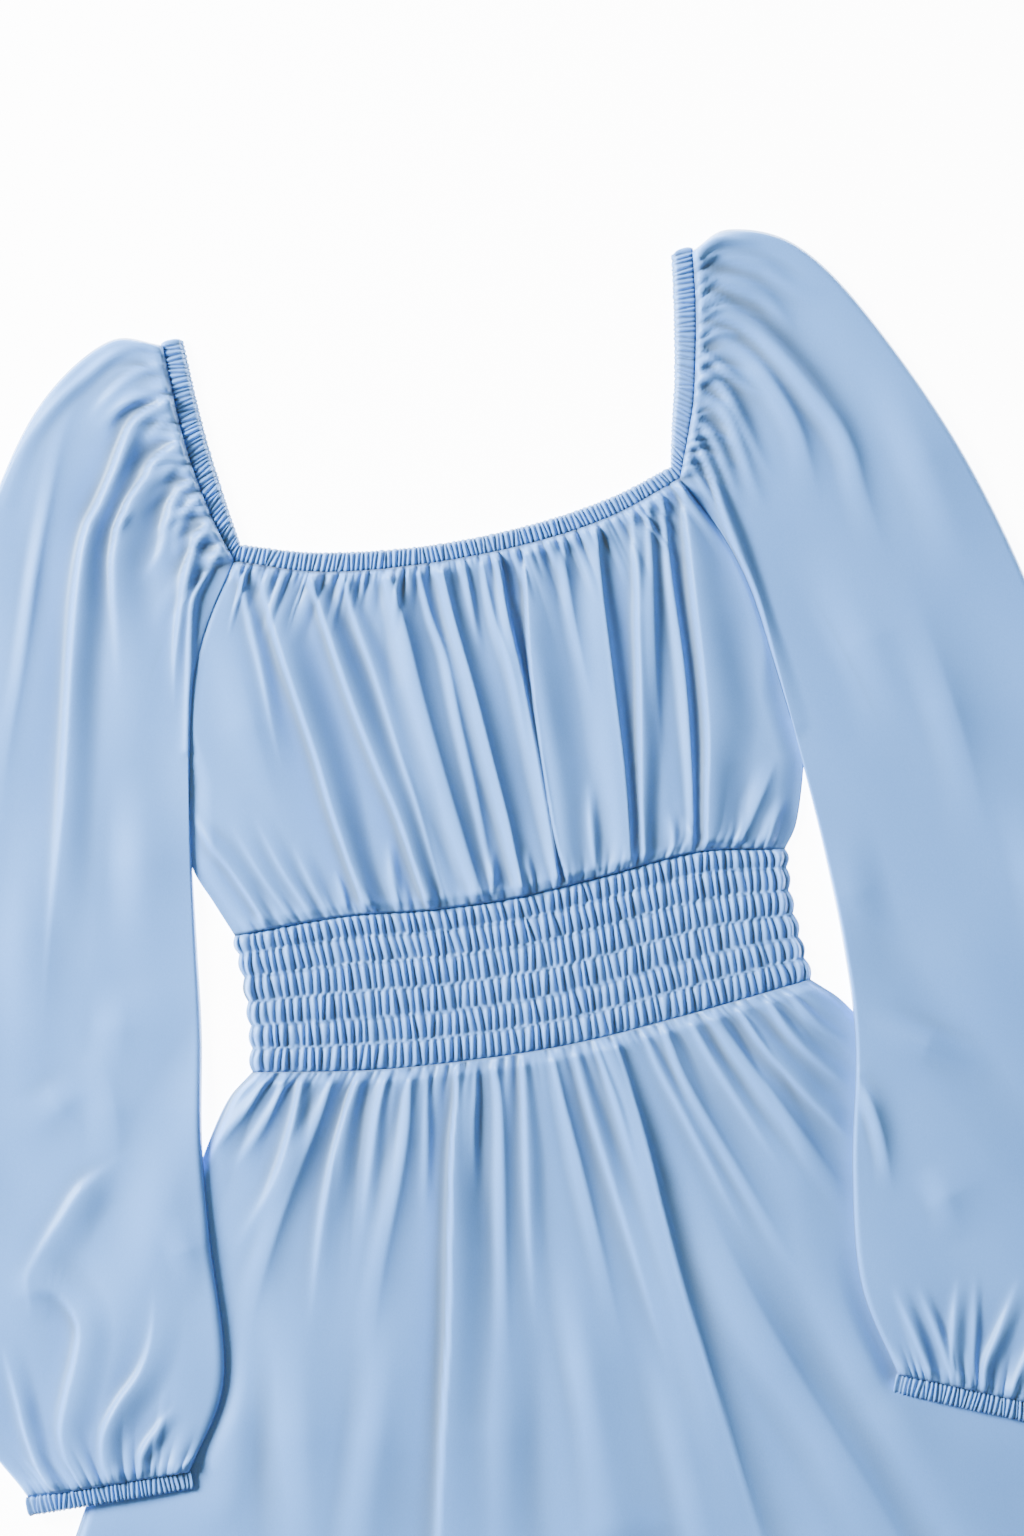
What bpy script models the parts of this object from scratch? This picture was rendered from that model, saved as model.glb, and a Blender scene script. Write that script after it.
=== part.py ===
"""Peasant dress laid flat, front side up.

Gathered bodice, shirred waistband, flared skirt, raglan bishop sleeves, and elastic casings at
the neck and wrists. Every piece is a wall of cloth, a seam's gap away from its neighbours.

Frame: +Z up, +Y towards the neck, +X to the right of someone looking down at the front. The
origin is under the middle of the waistband, on the surface that the back lies on.
The tables and functions work in millimetres; build() turns them into metres.
"""

from collections import namedtuple

import bmesh
import bpy
import numpy as np

MM = 0.001
WALL = 1.2  # thickness of one layer of cloth
GAP = 0.3  # clearance at seams and between layers
CASING = 1.8  # thickness of a casing, cloth folded over flat elastic
FRONT_LEVEL = WALL + GAP  # underside of the front panels, over the back panels
CASING_LEVEL = CASING + GAP  # underside of the front casings, over the back ones
REST_LEVEL = 2 * (WALL + GAP)  # underside of a sleeve that lies on the skirt
FOLD_ROUND = 0.7  # how far a folded edge stands out past its two layers

SLEEVE_NEAR, SLEEVE_FAR = 45.0, 90.0  # a sleeve leaves the skirt between these distances
SLEEVE_SLACK = 1.2  # how far a sleeve's two layers part along its middle
CROWN = 0.5  # rise along the middle of a casing
BACK_SHIFT = 1.3  # how far a shoulder casing's back leg shows past its front leg
CUFF_SPACE = 0.6  # space between the two layers of a cuff
CUFF_CORNER = 3.0  # rounding of a cuff's two ends, seen from above

PUFF_RISE, PUFF_SWING = 1.8, 0.7  # height of the waistband's puffs, and how much it varies
PUFF_BULGE = 1.3  # how far the puffs stand out past the stitch rows at the side seams
STITCH_ROWS = (0.14, 0.31, 0.49, 0.665, 0.83)  # shirring rows, as shares of the band's height

CURVE_STEPS = 24  # fine steps to each control point of a curve
CREST_STEPS = 14  # steps along the crest of a fold
SEAM_STEPS = 5  # steps along a raglan seam, on the bodice and on the sleeve
BACK_COLUMNS = 16  # columns across a back panel, which is flat

CLOTH_BLUE = (0.392, 0.546, 0.776, 1.0)
CASING_BLUE = (0.352, 0.504, 0.745, 1.0)
CLOTH_ROUGHNESS = 0.48

# Edges, as (x, y). Lines across run left to right, lines along run from the neck down.
NECK_TOP = [(-125, 262.5), (-80, 251), (-20, 245.5), (40, 248), (90, 256.5), (128, 269)]
NECK_SEAM = [(-130, 254), (-80, 240), (-20, 235.7), (40, 238), (90, 246.5), (132.5, 262)]
WAIST_SEAM = [(-163, 39.5), (-100, 41), (-50, 37), (0, 36.3), (50, 40.5), (110, 46.5), (160, 40.5)]
SKIRT_SEAM = [(-165, -40), (-100, -49), (-40, -52.5), (20, -52.3), (80, -46.8), (163, -36.5)]
HEM = [(-396, -457), (-205, -512), (0, -532), (205, -511), (396, -455)]

RAGLAN_LEFT = [(-130, 254), (-150, 222), (-163, 192), (-172, 152), (-178, 118)]
RAGLAN_RIGHT = [(132.5, 262), (151, 228), (163, 194), (170, 152), (175.5, 114)]
SIDE_LEFT = [(-178, 118), (-179, 90), (-175, 66), (-163, 39.5)]
SIDE_RIGHT = [(175.5, 114), (175.5, 88), (171.5, 66), (160, 40.5)]
BAND_LEFT = [(-163, 39.5), (-161.2, 12), (-162, -18), (-165, -40)]
BAND_RIGHT = [(160, 40.5), (158.3, 15), (160.3, -15), (163, -36.5)]
SKIRT_LEFT = [(-165, -40), (-190, -66), (-248, -172), (-300, -276), (-396, -457)]
SKIRT_RIGHT = [(163, -36.5), (188, -64), (247, -170), (300, -275), (396, -455)]

# Each sleeve: its neck edge from the front corner up to the shoulder fold, its two folded
# edges, and the ends of the seam that joins it to the cuff.
SHOULDER_LEFT = [(-130.3, 254.5), (-138, 277), (-144.5, 305), (-149, 335), (-152, 384)]
SHOULDER_RIGHT = [(132.9, 262.3), (141, 285), (148.5, 310), (156.5, 355), (160, 391)]
INNER_LEFT = [(-178, 118), (-181.5, 84), (-186, 35), (-191, -15), (-200, -75), (-204, -130),
              (-208, -212), (-236, -262)]
OUTER_LEFT = [(-152, 384), (-182, 391), (-222, 366), (-256, 321), (-300, 238), (-330, 130),
              (-350, 0), (-364, -130), (-355, -215), (-331, -263)]
INNER_RIGHT = [(175.5, 114), (178.5, 82), (182.5, 35), (185, -20), (183, -78), (170, -150),
               (165, -215), (178, -269)]
OUTER_RIGHT = [(160, 391), (183, 400), (220, 385), (256, 336), (300, 243), (331, 130),
               (345, 0), (342, -120), (320, -215), (266, -303)]

# Inner edges of the casings on the shoulders, whose outer edges are the sleeves' neck edges.
STRAP_LEFT = [(-125.2, 263), (-130.6, 288), (-135.2, 315), (-138.6, 345), (-141.4, 383)]
STRAP_RIGHT = [(128.4, 269.3), (133.8, 293), (139.6, 318), (145, 355), (149, 389.5)]

Cuff = namedtuple("Cuff", "inner_x inner_y outer_x outer_y depth")
CUFF_LEFT = Cuff(-236, -262.5, -331, -263.5, 10)
CUFF_RIGHT = Cuff(178, -269.5, 266, -303.5, 11)

# Folds: three points along the crest, its rise, its half width, and the share of the rise
# that is left at its first and last points.
Fold = namedtuple("Fold", "x0 y0 x1 y1 x2 y2 rise half start end")
BODICE_FOLDS = [
    Fold(-118, 248, -104, 165, -85, 42, 2.6, 12, 0.6, 0.8),
    Fold(-89, 240, -69, 140, -50, 40, 3.2, 13, 0.6, 0.9),
    Fold(-42, 235, -35, 160, -19, 40, 3.6, 14, 0.6, 0.8),
    Fold(-9, 234, 0, 150, 6, 40, 3.0, 12, 0.5, 0.7),
    Fold(45, 238, 44, 150, 45, 42, 2.4, 14, 0.5, 0.6),
    Fold(79, 244, 76, 140, 70, 45, 3.4, 13, 0.6, 0.8),
    Fold(108, 250, 99, 150, 92, 46, 2.6, 12, 0.6, 0.6),
    Fold(132, 254, 129, 150, 117, 48, 2.4, 12, 0.5, 0.8),
    Fold(-160, 122, -151, 85, -140, 44, 1.8, 12, 0.0, 0.7),
    Fold(159, 96, 148, 74, 137, 50, 1.8, 12, 0.0, 0.7),
]
SKIRT_FOLDS = [
    Fold(-138, -47, -150, -80, -162, -112, 2.6, 13, 0.7, 0.0),
    Fold(-100, -52, -128, -120, -150, -232, 2.6, 16, 0.7, 0.0),
    Fold(-48, -56, -74, -200, -108, -400, 3.4, 17, 0.6, 0.2),
    Fold(-22, -56, -28, -130, -34, -250, 2.0, 16, 0.5, 0.0),
    Fold(8, -57, 12, -120, 6, -240, 1.8, 14, 0.6, 0.0),
    Fold(45, -54, 64, -210, 94, -410, 3.6, 17, 0.6, 0.2),
    Fold(90, -50, 112, -110, 132, -176, 2.6, 15, 0.7, 0.0),
    Fold(136, -45, 145, -60, 155, -78, 2.0, 11, 0.8, 0.0),
    Fold(-3, -290, 0, -400, 4, -531, 3.0, 22, 0.0, 1.0),
    Fold(-78, -360, -92, -440, -104, -527, 2.8, 22, 0.0, 1.0),
    Fold(80, -350, 96, -440, 106, -527, 2.8, 22, 0.0, 1.0),
    Fold(-158, -350, -186, -430, -208, -512, 3.4, 24, 0.0, 1.0),
    Fold(168, -365, 192, -440, 212, -511, 3.4, 24, 0.0, 1.0),
    Fold(-246, -350, -280, -424, -306, -488, 2.8, 24, 0.0, 1.0),
    Fold(256, -368, 286, -430, 310, -486, 2.8, 24, 0.0, 1.0),
]
SLEEVE_FOLDS_LEFT = [
    Fold(-190, 376, -236, 300, -282, 150, 1.8, 15, 0.0, 0.0),
    Fold(-154, 348, -214, 280, -282, -10, 2.4, 18, 0.4, 0.0),
    Fold(-150, 322, -192, 274, -206, 185, 2.2, 14, 0.4, 0.0),
    Fold(-141, 277, -163, 232, -176, 150, 2.0, 12, 0.4, 0.0),
    Fold(-256, -84, -304, -132, -302, -258, 2.4, 18, 0.0, 0.7),
    Fold(-238, -160, -268, -210, -280, -258, 2.2, 14, 0.0, 0.7),
]
SLEEVE_FOLDS_RIGHT = [
    Fold(162, 356, 214, 305, 240, 222, 2.4, 18, 0.4, 0.0),
    Fold(158, 340, 202, 292, 212, 222, 2.0, 14, 0.4, 0.0),
    Fold(149, 308, 168, 272, 178, 215, 2.0, 12, 0.4, 0.0),
    Fold(256, 175, 270, 100, 276, 20, 1.8, 20, 0.0, 0.0),
    Fold(188, -52, 226, -86, 268, -104, 2.2, 16, 0.0, 0.0),
    Fold(186, -215, 193, -250, 200, -275, 2.2, 12, 0.0, 0.8),
    Fold(250, -225, 228, -258, 218, -284, 2.2, 13, 0.0, 0.8),
]


def curve(points, steps):
    """A smooth line through the points, as steps + 1 points evenly spaced along it."""
    p = np.array(points, float)
    p = np.vstack([2 * p[0] - p[1], p, 2 * p[-1] - p[-2]])
    t = np.linspace(0, 1, CURVE_STEPS, endpoint=False)[:, None]
    runs = []
    for a, b, c, d in zip(p, p[1:], p[2:], p[3:]):
        cubic = 3 * b - a - 3 * c + d
        square = 2 * a - 5 * b + 4 * c - d
        runs.append(b + ((c - a) * t + square * t**2 + cubic * t**3) / 2)
    return even(np.vstack([*runs, p[-2]]), steps)


def even(line, steps):
    """The line again, as steps + 1 points evenly spaced along it."""
    along = np.r_[0, np.cumsum(np.linalg.norm(np.diff(line, axis=0), axis=1))]
    at = np.linspace(0, along[-1], steps + 1)
    return np.stack([np.interp(at, along, line[:, k]) for k in range(line.shape[1])], axis=1)


def patch(top, bottom, left, right):
    """The plan of a panel between its four edges; top and bottom run across it."""
    u = np.linspace(0, 1, len(top))[None, :, None]
    v = np.linspace(0, 1, len(left))[:, None, None]
    across = (1 - v) * top[None] + v * bottom[None]
    down = (1 - u) * left[:, None] + u * right[:, None]
    first = (1 - u) * top[0] + u * top[-1]
    last = (1 - u) * bottom[0] + u * bottom[-1]
    return across + down - (1 - v) * first - v * last


def inset(line, distance, side):
    """The line moved sideways in plan: side 1 moves it to its left, -1 to its right."""
    along = np.gradient(line, axis=0)
    along /= np.linalg.norm(along, axis=1)[:, None]
    return line + side * distance * np.stack([-along[:, 1], along[:, 0]], axis=1)


def relief(plan, folds):
    """How far the highest fold at each point of the plan lifts the cloth."""
    rise = np.zeros(plan.shape[:-1])
    for fold in folds:
        crest = curve([fold[0:2], fold[2:4], fold[4:6]], CREST_STEPS)
        away = np.linalg.norm(plan[..., None, :] - crest, axis=-1)
        along = away.argmin(axis=-1) / CREST_STEPS
        ends = np.interp(along, [0, 0.35, 0.65, 1], [fold.start, 1, 1, fold.end])
        slope = np.cos(np.pi * np.clip(away.min(axis=-1) / fold.half, 0, 1))
        rise = np.maximum(rise, fold.rise * ends * (1 + slope) / 2)
    return rise


def outside(plan, outline):
    """How far each point of the plan lies outside the outline, 0 within it."""
    a = outline
    b = np.roll(outline, -1, axis=0)
    run = b - a
    to = plan[..., None, :] - a
    share = np.clip((to * run).sum(-1) / (run * run).sum(-1), 0, 1)
    distance = np.linalg.norm(to - share[..., None] * run, axis=-1).min(axis=-1)
    x, y = plan[..., 0, None], plan[..., 1, None]
    crosses = (a[:, 1] > y) != (b[:, 1] > y)
    slant = np.where(run[:, 1] == 0, 1, run[:, 1])
    beyond = x < a[:, 0] + (y - a[:, 1]) * run[:, 0] / slant
    within = (crosses & beyond).sum(axis=-1) % 2 == 1
    return np.where(within, 0, distance)


def at_height(plan, height):
    """The points of a plan, in three dimensions, at a height."""
    return np.dstack([plan, np.broadcast_to(height, plan.shape[:-1])])


def material(name, colour):
    """Satin cloth of one colour."""
    made = bpy.data.materials.new(name)
    made.use_nodes = True
    shader = made.node_tree.nodes["Principled BSDF"]
    shader.inputs["Base Color"].default_value = colour
    shader.inputs["Roughness"].default_value = CLOTH_ROUGHNESS
    shader.inputs["Metallic"].default_value = 0.0
    made.diffuse_color = colour
    return made


def build(name, low, high, colour, tube=False):
    """One wall of cloth between two matching grids of points, in rows and columns.

    A tube's last column meets its first. The grid is laid on the low side and extruded to
    the high side, which closes the rims.
    """
    rows, columns = low.shape[:2]
    bm = bmesh.new()
    place = bm.verts.layers.int.new("place")
    bmesh.ops.create_grid(bm, x_segments=columns - (not tube), y_segments=rows - 1, size=1)
    bm.verts.ensure_lookup_table()
    for count, vertex in enumerate(bm.verts):
        row, column = divmod(count, columns + tube)
        vertex[place] = row * columns + column % columns
        vertex.co = low[row, column % columns] * MM
    if tube:
        bmesh.ops.remove_doubles(bm, verts=bm.verts, dist=GAP * MM / 100)
    raised = bmesh.ops.extrude_face_region(bm, geom=bm.faces[:])["geom"]
    ends = high.reshape(-1, 3) * MM
    for vertex in raised:
        if isinstance(vertex, bmesh.types.BMVert):
            vertex.co = ends[vertex[place]]
    bmesh.ops.recalc_face_normals(bm, faces=bm.faces)
    mesh = bpy.data.meshes.new(name)
    bm.to_mesh(mesh)
    bm.free()
    mesh.materials.append(material(name + "_cloth", colour))
    mesh.shade_smooth()
    made = bpy.data.objects.new(name, mesh)
    bpy.context.collection.objects.link(made)
    return made


def side(raglan, seam, steps):
    """A bodice's side: the raglan seam down to the armpit, then the side seam."""
    return np.vstack([curve(raglan, SEAM_STEPS)[:-1], curve(seam, steps - SEAM_STEPS)])


def panels():
    """The bodice, waistband and skirt, front and back."""
    folds = {"bodice": BODICE_FOLDS, "skirt": SKIRT_FOLDS}
    plans = {
        "bodice": lambda columns, rows: patch(
            curve(NECK_SEAM, columns), curve(WAIST_SEAM, columns),
            side(RAGLAN_LEFT, SIDE_LEFT, rows), side(RAGLAN_RIGHT, SIDE_RIGHT, rows)),
        "skirt": lambda columns, rows: patch(
            curve(SKIRT_SEAM, columns), curve(HEM, columns),
            curve(SKIRT_LEFT, rows), curve(SKIRT_RIGHT, rows)),
    }
    grids = {"bodice": (32, 10), "skirt": (32, 12)}
    for name, plan in plans.items():
        columns, rows = grids[name]
        front = trim(plan(columns, rows))
        level = FRONT_LEVEL + relief(front, folds[name])
        build(name + "_front", at_height(front, level), at_height(front, level + WALL), CLOTH_BLUE)
        back = trim(plan(BACK_COLUMNS, rows))
        build(name + "_back", at_height(back, 0), at_height(back, WALL), CLOTH_BLUE)


def trim(plan):
    """The plan with its top and bottom rows drawn in, to leave the gap of a seam."""
    drawn = plan.copy()
    for row, inner in ((0, 1), (-1, -2)):
        run = plan[inner] - plan[row]
        drawn[row] += run / np.linalg.norm(run, axis=1)[:, None] * GAP / 2
    return drawn


def waistband():
    """Two bands of cloth, puffed between the rows of shirring on the front one."""
    bounds = np.array([0, *STITCH_ROWS, 1])
    middles = (bounds[:-1] + bounds[1:]) / 2
    shares = np.sort(np.r_[bounds, middles])
    puffed = np.isin(shares, middles)

    def plan(columns):
        left, right = (curve(line, 60) for line in (BAND_LEFT, BAND_RIGHT))
        rows = np.round(shares * 60).astype(int)
        full = patch(curve(WAIST_SEAM, columns), curve(SKIRT_SEAM, columns), left, right)[rows]
        full[puffed, 0, 0] -= PUFF_BULGE
        full[puffed, -1, 0] += PUFF_BULGE
        return trim(full)

    front = plan(28)
    swing = np.where(np.arange(29) % 2 == 0, -PUFF_SWING, PUFF_SWING)
    swing = swing[None, :] * np.where(np.cumsum(puffed) % 2 == 0, 1, -1)[:, None]
    level = FRONT_LEVEL + np.where(puffed[:, None], PUFF_RISE + swing, 0)
    build("waistband_front", at_height(front, level), at_height(front, level + WALL), CLOTH_BLUE)
    back = plan(BACK_COLUMNS)
    build("waistband_back", at_height(back, 0), at_height(back, WALL), CLOTH_BLUE)


def sleeve(name, raglan, shoulder, inner, outer, cuff, folds, turn):
    """A flattened tube from the raglan seam and the neck edge down to the cuff.

    turn is 1 on the left sleeve and -1 on the right, where the edges run the other way.
    """
    rows = 15
    cut = np.array([cuff[0:2], cuff[2:4]], float)
    away = (cut[1] - cut[0]) / np.linalg.norm(cut[1] - cut[0])
    up = np.array([away[1], -away[0]]) * turn
    seam = np.vstack([curve(raglan, SEAM_STEPS)[::-1], curve(shoulder, SEAM_STEPS)[1:]])
    neck = inset(seam, GAP, turn)
    wrist = even(cut + up * GAP, 2 * SEAM_STEPS)
    folded = [curve([neck[end], *edge[1:-1], wrist[end]], rows)
              for edge, end in ((inner, 0), (outer, -1))]
    plan = patch(neck, wrist, *folded)
    skirt = np.vstack([curve(SKIRT_LEFT, 8), curve(HEM, 8)[1:-1], curve(SKIRT_RIGHT, 8)[::-1]])

    def ring(edge, wall):
        """The columns round the tube: over the top layer, then back under the lower one."""
        layer = plan.copy()
        layer[:, 0] += edge_step(plan, 0, 1) * edge
        layer[:, -1] += edge_step(plan, -1, -2) * edge
        clear = np.clip((SLEEVE_FAR - outside(layer, skirt)) / (SLEEVE_FAR - SLEEVE_NEAR), 0, 1)
        floor = REST_LEVEL * clear
        across = np.sin(np.pi * np.linspace(0, 1, layer.shape[1]))
        lift = relief(layer, folds) + SLEEVE_SLACK
        lift = lift * np.minimum(1, 1.6 * across)
        lift[0] = 0
        top = floor + FRONT_LEVEL + lift + WALL
        upper = at_height(layer, top - wall)
        lower = at_height(layer, floor + wall)
        turns = []
        for column, step in ((-1, -2), (0, 1)):
            bulge = layer[:, column] - edge_step(plan, column, step) * (FOLD_ROUND - wall / 3)
            middle = (upper[:, column, 2] + lower[:, column, 2]) / 2
            turns.append(np.c_[bulge, middle][:, None])
        return np.hstack([upper, turns[0], lower[:, ::-1], turns[1]])

    build(name, ring(WALL + FOLD_ROUND, WALL), ring(FOLD_ROUND, 0), CLOTH_BLUE, tube=True)


def edge_step(plan, column, inward):
    """Unit steps from a side column of the plan towards its neighbour."""
    run = plan[:, inward] - plan[:, column]
    return run / np.linalg.norm(run, axis=1)[:, None]


def neck_casings():
    """The two elastic casings along the neckline, the front one over the back one."""
    for name, level, columns in (("front", CASING_LEVEL, 24), ("back", 0, 24)):
        top, seam = curve(NECK_TOP, columns), curve(NECK_SEAM, columns)
        seam = inset(seam, GAP, 1)
        plan = np.stack([top, (top + seam) / 2, seam])
        crown = np.array([0, CROWN, 0])[:, None] * (name == "front")
        low = at_height(plan, level)
        build("neck_casing_" + name, low, at_height(plan, level + CASING + crown), CASING_BLUE)


def shoulder_casing(name, outer, inner, turn):
    """A casing that runs up the front of a shoulder, over its fold and down the back."""
    steps, turns = 9, 4
    outer = inset(curve(outer, steps), GAP, -turn)
    inner = curve(inner, steps)
    front = np.stack([outer, (outer + inner) / 2, inner], axis=1)
    fold_axis = CASING_LEVEL - GAP / 2
    angle = np.linspace(0, np.pi, turns + 1)
    shown = np.array([turn * BACK_SHIFT, 0])
    spread = np.minimum(1, np.arange(steps) / 3)[:, None, None]

    def face(radius, crown):
        """One face of the casing, at its distance from the axis of the shoulder's fold."""
        crowned = fold_axis + radius + np.array([0, crown, 0])
        rows = [at_height(front[:-1], crowned)]
        for a in angle:
            along = front[-1] + shown * (1 - np.cos(a)) / 2 + np.array([0, np.sin(a) * radius])
            rows.append(at_height(along[None], fold_axis + np.cos(a) * radius))
        back = front[:-1] + shown * spread
        rows.append(at_height(back[::-1], fold_axis - radius))
        return np.vstack(rows)

    build(name, face(GAP / 2, 0), face(GAP / 2 + CASING, CROWN), CASING_BLUE)


def cuff(name, cut, turn):
    """An elastic cuff: a flattened loop of cloth below the sleeve's gathered end."""
    inner, outer = np.array(cut[0:2], float), np.array(cut[2:4], float)
    along = (outer - inner) / np.linalg.norm(outer - inner)
    down = np.array([-along[1], along[0]]) * turn
    thick = 2 * WALL + CUFF_SPACE

    def ring(wall):
        """The columns round the loop, over its top layer and back under the lower one."""
        high, low = REST_LEVEL + thick - wall, REST_LEVEL + wall
        rows = []
        for depth, draw in ((0, 0), (cut.depth * 0.6, 0), (cut.depth, CUFF_CORNER / 3)):
            near, far = inner + along * (draw + wall), outer - along * (draw + wall)
            flat = even(np.array([near + along, far - along]), 8) + down * depth
            upper = np.c_[flat, np.full(len(flat), high)]
            lower = np.c_[flat, np.full(len(flat), low)][::-1]
            middle = (high + low) / 2
            turns = [np.r_[end + down * depth, middle][None] for end in (far, near)]
            rows.append(np.vstack([upper, turns[0], lower, turns[1]]))
        return np.stack(rows)

    build(name, ring(WALL), ring(0), CASING_BLUE, tube=True)


for old in list(bpy.data.objects):
    bpy.data.objects.remove(old)
panels()
waistband()
sleeve("sleeve_left", RAGLAN_LEFT, SHOULDER_LEFT, INNER_LEFT, OUTER_LEFT, CUFF_LEFT,
       SLEEVE_FOLDS_LEFT, 1)
sleeve("sleeve_right", RAGLAN_RIGHT, SHOULDER_RIGHT, INNER_RIGHT, OUTER_RIGHT, CUFF_RIGHT,
       SLEEVE_FOLDS_RIGHT, -1)
neck_casings()
shoulder_casing("shoulder_casing_left", SHOULDER_LEFT, STRAP_LEFT, 1)
shoulder_casing("shoulder_casing_right", SHOULDER_RIGHT, STRAP_RIGHT, -1)
cuff("cuff_left", CUFF_LEFT, 1)
cuff("cuff_right", CUFF_RIGHT, -1)
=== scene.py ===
import math

import bpy
import numpy as np
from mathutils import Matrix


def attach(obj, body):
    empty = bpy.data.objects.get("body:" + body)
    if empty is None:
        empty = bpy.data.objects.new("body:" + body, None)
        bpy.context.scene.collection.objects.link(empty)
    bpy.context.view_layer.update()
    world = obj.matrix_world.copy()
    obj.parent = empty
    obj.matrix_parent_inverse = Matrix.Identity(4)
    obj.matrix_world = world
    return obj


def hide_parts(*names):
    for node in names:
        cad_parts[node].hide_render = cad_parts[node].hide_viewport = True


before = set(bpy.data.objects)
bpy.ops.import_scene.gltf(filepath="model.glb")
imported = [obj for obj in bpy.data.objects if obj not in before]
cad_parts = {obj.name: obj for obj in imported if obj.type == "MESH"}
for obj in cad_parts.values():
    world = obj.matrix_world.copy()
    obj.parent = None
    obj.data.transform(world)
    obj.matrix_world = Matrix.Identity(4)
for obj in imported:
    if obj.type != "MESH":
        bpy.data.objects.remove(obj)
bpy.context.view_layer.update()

mm = 0.001

# Edges of the pieces in millimetres, +Y to the neck and +X to the right. They are the frame's
# own, but for the sides of the bodice, which stay beside the sleeves further down.
neckTop = [(-125, 262.5), (-80, 251), (-20, 245.5), (40, 248), (90, 256.5), (128, 269)]
neckSeam = [(-130, 254), (-80, 240), (-20, 235.7), (40, 238), (90, 246.5), (132.5, 262)]
waistSeam = [(-163, 39.5), (-100, 41), (-50, 37), (0, 36.3), (50, 40.5), (110, 46.5), (160, 40.5)]
skirtSeam = [(-165, -40), (-100, -49), (-40, -52.5), (20, -52.3), (80, -46.8), (163, -36.5)]
hemLine = [(-396, -457), (-205, -512), (0, -532), (205, -511), (396, -455)]
raglanLeft = [(-130, 254), (-150, 222), (-163, 192), (-172, 152), (-178, 118)]
raglanRight = [(132.5, 262), (151, 228), (163, 194), (170, 152), (175.5, 114)]
sideLeft = [(-178, 118), (-180.3, 98), (-181, 81), (-172, 60), (-163, 39.5)]
sideRight = [(175.5, 114), (177.3, 98), (177.8, 86), (169, 55), (160, 40.5)]
bandLeft = [(-163, 39.5), (-161.2, 12), (-162, -18), (-165, -40)]
bandRight = [(160, 40.5), (158.3, 15), (160.3, -15), (163, -36.5)]
skirtLeft = [(-165, -40), (-190, -66), (-248, -172), (-300, -276), (-396, -457)]
skirtRight = [(163, -36.5), (188, -64), (247, -170), (300, -275), (396, -455)]


def curve(points, steps):
    p = np.array(points, float)
    p = np.vstack([2 * p[0] - p[1], p, 2 * p[-1] - p[-2]])
    t = np.linspace(0, 1, 24, endpoint=False)[:, None]
    runs = []
    for a, b, c, d in zip(p, p[1:], p[2:], p[3:]):
        cubic = 3 * b - a - 3 * c + d
        square = 2 * a - 5 * b + 4 * c - d
        runs.append(b + ((c - a) * t + square * t**2 + cubic * t**3) / 2)
    return even(np.vstack([*runs, p[-2]]), steps)


def even(line, steps, spread=None):  # spread says where along the line the points go, 0 to 1
    along = np.r_[0, np.cumsum(np.linalg.norm(np.diff(line, axis=0), axis=1))]
    at = along[-1] * (np.linspace(0, 1, steps + 1) if spread is None else spread)
    return np.stack([np.interp(at, along, line[:, k]) for k in range(line.shape[1])], axis=1)


def patch(top, bottom, left, right):  # the plan between four edges
    u = np.linspace(0, 1, len(top))[None, :, None]
    v = measure(left)[:, None, None]
    across = (1 - v) * top[None] + v * bottom[None]
    down = (1 - u) * left[:, None] + u * right[:, None]
    first = (1 - u) * top[0] + u * top[-1]
    last = (1 - u) * bottom[0] + u * bottom[-1]
    return across + down - (1 - v) * first - v * last


def measure(line):  # 0 to 1 along the line, at each of its points
    along = np.r_[0, np.cumsum(np.linalg.norm(np.diff(line, axis=0), axis=1))]
    return along / along[-1]


def smooth(t):
    t = np.clip(t, 0, 1)
    return t * t * (3 - 2 * t)


def outside(x, y, outline):  # distance outside a closed outline, 0 within it
    x, y = x[..., None], y[..., None]
    a, b = outline, np.roll(outline, -1, axis=0)
    run = b - a
    share = ((x - a[:, 0]) * run[:, 0] + (y - a[:, 1]) * run[:, 1]) / (run**2).sum(1)
    share = np.clip(share, 0, 1)
    away = np.hypot(x - a[:, 0] - share * run[:, 0], y - a[:, 1] - share * run[:, 1]).min(-1)
    slant = np.where(run[:, 1] == 0, 1, run[:, 1])
    beyond = x < a[:, 0] + (y - a[:, 1]) * run[:, 0] / slant
    inside = (((a[:, 1] > y) != (b[:, 1] > y)) & beyond).sum(-1) % 2 == 1
    return np.where(inside, 0, away)


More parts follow.
